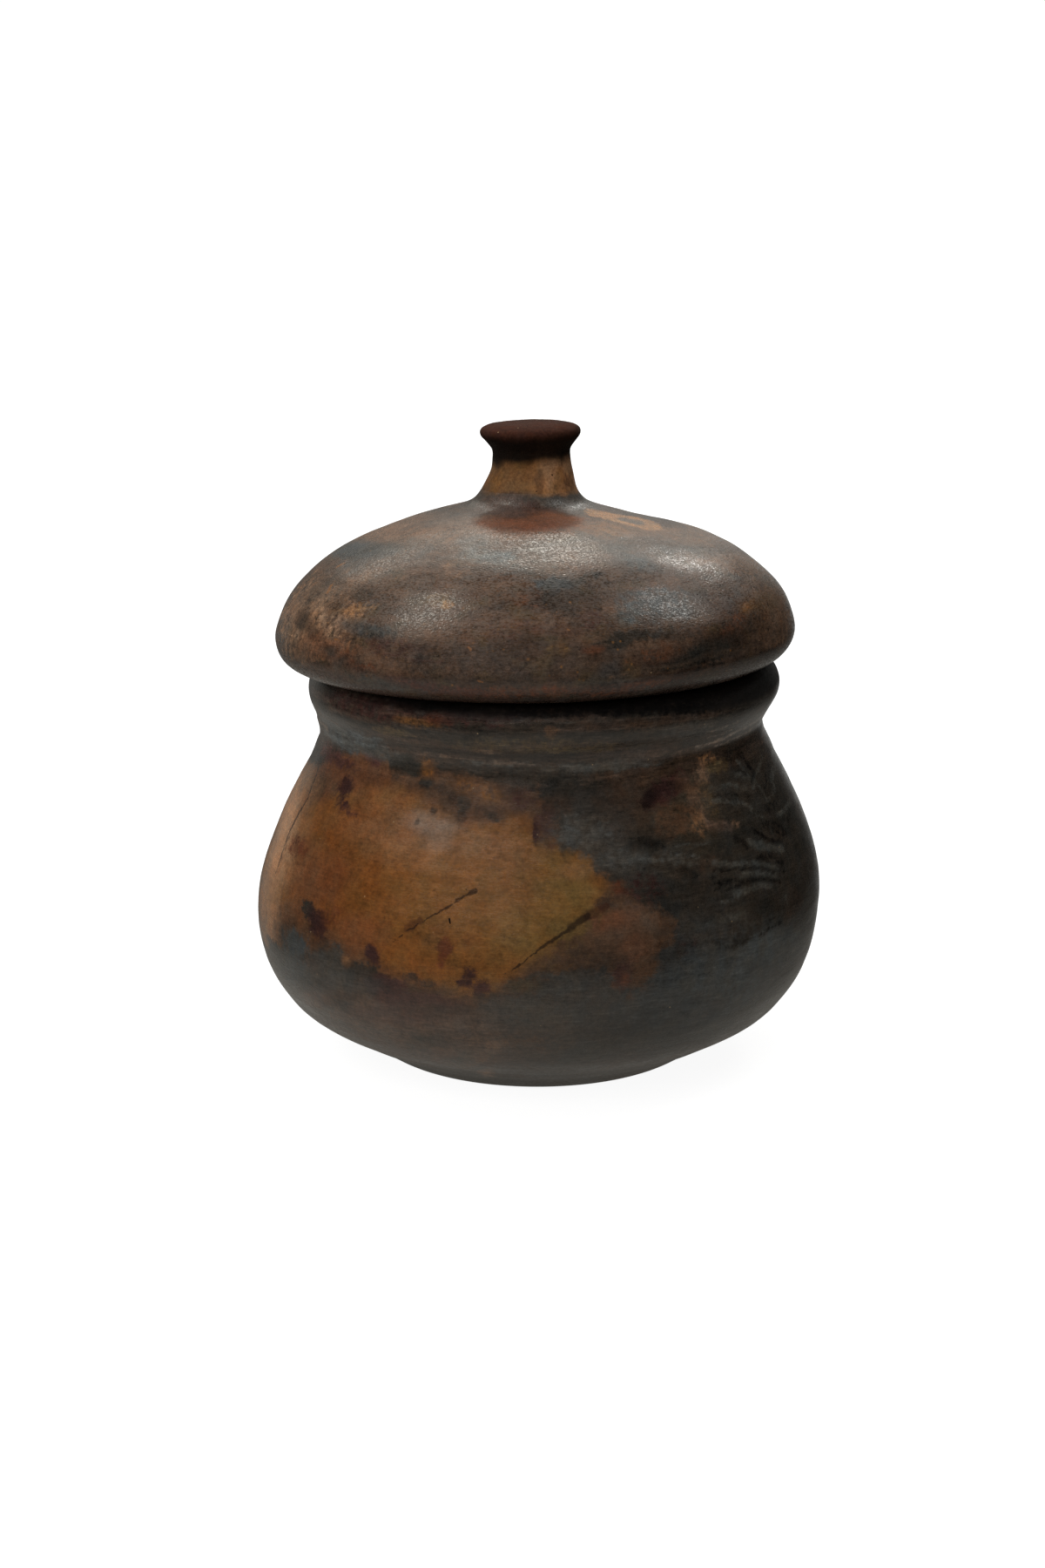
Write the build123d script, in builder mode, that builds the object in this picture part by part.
from build123d import *
import math
import os

# Lidded earthenware pot: a round-bellied cooking pot with a turned-out rim, and
# a loose domed lid with a knob, which drops onto the rim and lifts straight off.
# Every member is a solid of revolution about +Z. Origin: centre of the foot.

# ---- driving dimensions (mm) --------------------------------------------------
foot_r = 54.0            # flat that the pot stands on
belly_r = 105.3          # widest radius of the pot
belly_z = 58.0           # height of the widest ring
luting_z = 120.0         # level where the rim coil was joined to the body
neck_r = 82.5            # narrowest outside radius, just above the joint
neck_z = 124.5
lip_r = 86.9             # widest radius of the turned-out lip
lip_z = 139.5
rim_top_z = 148.6        # crest of the lip
mouth_r = 75.2           # clear radius of the mouth at the joint
floor_t = 9.0            # thickness of the floor
seat_gap = 0.4           # lid seat above the crest of the lip
seat_z = rim_top_z + seat_gap
lid_r = 95.5             # widest radius of the lid
lid_r_z = 158.6
lid_top_z = 204.5        # land on which the knob is luted
knob_foot_r = 25.5
knob_waist_r = 14.25
knob_r = 18.15           # radius of the knob's cap
knob_top_z = 235.0
ring_r = 71.5            # locating ring: outside radius
ring_t = 7.5
ring_drop = 11.5         # how far the ring hangs below the seat

# ---- profiles: stations of (radius, height, direction of the profile there in degrees) ---
# Between two stations runs a pair of arcs that are tangent to each other and to the
# directions at both ends, so each profile is smooth all along.
body_outer = [
    (foot_r, 0.0, 11.7), (61.9, 3.1, 29.4), (86.2, 18.2, 35.4), (99.9, 33.0, 62.5),
    (belly_r, belly_z, 90.5), (100.6, 82.4, 109.7), (87.7, 110.0, 117.7), (83.3, luting_z, 107.5),
]
body_inner = [
    (mouth_r, luting_z, -75.5), (79.8, 108.6, -61.3), (92.7, 81.6, -70.6), (97.1, 54.0, -94.5),
    (92.2, 37.5, -119.8), (79.6, 23.6, -141.3), (61.5, 12.6, -155.4), (50.0, floor_t, -175.4),
]
rim_outer = [
    (83.3, luting_z, 107.5), (neck_r, neck_z, 91.8), (84.9, 133.0, 62.7), (lip_r, lip_z, 88.1),
    (85.4, 145.4, 123.1), (80.3, rim_top_z, 180.0),
]
rim_inner = [(80.3, rim_top_z, -180.0), (76.4, 144.8, -105.2), (75.8, 140.0, -94.0)]
dome_outer = [
    (86.5, seat_z, 5.7), (93.3, 153.0, 50.5), (lid_r, lid_r_z, 88.5), (91.9, 170.0, 118.3),
    (81.5, 182.0, 139.5), (69.4, 190.0, 153.6), (47.4, 198.1, 162.8), (knob_foot_r, lid_top_z, 162.5),
]
dome_inner = [
    (20.0, 196.7, -2.9), (51.0, 191.8, -16.1), (76.0, 179.0, -42.0), (82.3, 169.4, -85.6),
    (75.5, 160.4, -155.7), (67.0, 158.0, -171.5),
]
knob_outer = [
    (knob_foot_r, lid_top_z, 162.5), (18.5, 209.0, 125.6), (15.05, 217.2, 106.6),
    (knob_waist_r, 222.0, 92.5), (14.4, 225.2, 73.2), (17.1, 229.0, 54.1), (knob_r, 231.4, 92.0),
    (16.4, 233.5, 149.0), (10.0, knob_top_z - 0.4, 175.0), (0.0, knob_top_z, 180.0),
]


def arcs(stations):
    """Draw the smooth chain of arcs through the stations, in the line being built."""
    for (r0, z0, a0), (r1, z1, a1) in zip(stations, stations[1:]):
        p0, p1 = Vector(r0, z0), Vector(r1, z1)
        t0 = Vector(math.cos(math.radians(a0)), math.sin(math.radians(a0)))
        t1 = Vector(math.cos(math.radians(a1)), math.sin(math.radians(a1)))
        v, t = p1 - p0, t0 + t1
        bend = 2 * (1 - t0.dot(t1))
        if bend < 1e-9:
            d = v.dot(v) / (4 * v.dot(t1))
        else:
            d = (math.sqrt(v.dot(t) ** 2 + bend * v.dot(v)) - v.dot(t)) / bend
        meet = (p0 + p1 + (t0 - t1) * d) * 0.5
        TangentArc(p0, meet, tangent=t0)
        TangentArc(p1, meet, tangent=t1 * -1)


# ---- pot body: foot, belly and shoulder, up to the luting joint -----------------
with BuildPart() as pot_body:
    with BuildSketch(Plane.XZ):
        with BuildLine():
            Line((0, 0), (foot_r, 0))
            arcs(body_outer)
            Line((83.3, luting_z), (mouth_r, luting_z))
            arcs(body_inner)
            Line((50.0, floor_t), (0, floor_t))
            Line((0, floor_t), (0, 0))
        make_face()
    revolve(axis=Axis.Z)
pot_body.part.label = "pot_body"

# ---- rim: coil luted onto the shoulder, turned out into a rounded lip ------------
with BuildPart() as pot_rim:
    with BuildSketch(Plane.XZ):
        with BuildLine():
            arcs(rim_outer)
            arcs(rim_inner)
            Line((75.8, 140.0), (mouth_r, luting_z))
            Line((mouth_r, luting_z), (83.3, luting_z))
        make_face()
    revolve(axis=Axis.Z)
pot_rim.part.label = "pot_rim"

# ---- lid dome: hollow shell with a rolled edge and a flat seat underneath --------
with BuildPart() as lid_dome:
    with BuildSketch(Plane.XZ):
        with BuildLine():
            Line((ring_r - ring_t, seat_z), (86.5, seat_z))
            arcs(dome_outer)
            Line((knob_foot_r, lid_top_z), (0, lid_top_z))
            Line((0, lid_top_z), (0, 197.0))
            Line((0, 197.0), (20.0, 196.7))
            arcs(dome_inner)
            Line((67.0, 158.0), (ring_r - ring_t, 155.0))
            Line((ring_r - ring_t, 155.0), (ring_r - ring_t, seat_z))
        make_face()
    revolve(axis=Axis.Z)
lid_dome.part.label = "lid_dome"

# ---- lid knob: waisted stem with a low domed cap, luted onto the dome ------------
with BuildPart() as lid_knob:
    with BuildSketch(Plane.XZ):
        with BuildLine():
            Line((0, lid_top_z), (knob_foot_r, lid_top_z))
            arcs(knob_outer)
            Line((0, knob_top_z), (0, lid_top_z))
        make_face()
    revolve(axis=Axis.Z)
lid_knob.part.label = "lid_knob"

# ---- locating ring: collar under the seat that keeps the lid over the mouth ------
with BuildPart() as lid_locating_ring:
    with BuildSketch(Plane.XZ):
        with BuildLine():
            Polyline(
                (ring_r - ring_t, seat_z),
                (ring_r - ring_t, seat_z - ring_drop),
                (ring_r - 1.2, seat_z - ring_drop),
                (ring_r, seat_z),
                close=True,
            )
        make_face()
    revolve(axis=Axis.Z)
    low = lid_locating_ring.edges().filter_by(GeomType.CIRCLE).group_by(Axis.Z)[0]
    fillet(low, radius=2.6)
lid_locating_ring.part.label = "lid_locating_ring"

os.makedirs("parts", exist_ok=True)
export_step(pot_body.part, "parts/pot_body.step")
export_step(pot_rim.part, "parts/pot_rim.step")
export_step(lid_dome.part, "parts/lid_dome.step")
export_step(lid_knob.part, "parts/lid_knob.step")
export_step(lid_locating_ring.part, "parts/lid_locating_ring.step")
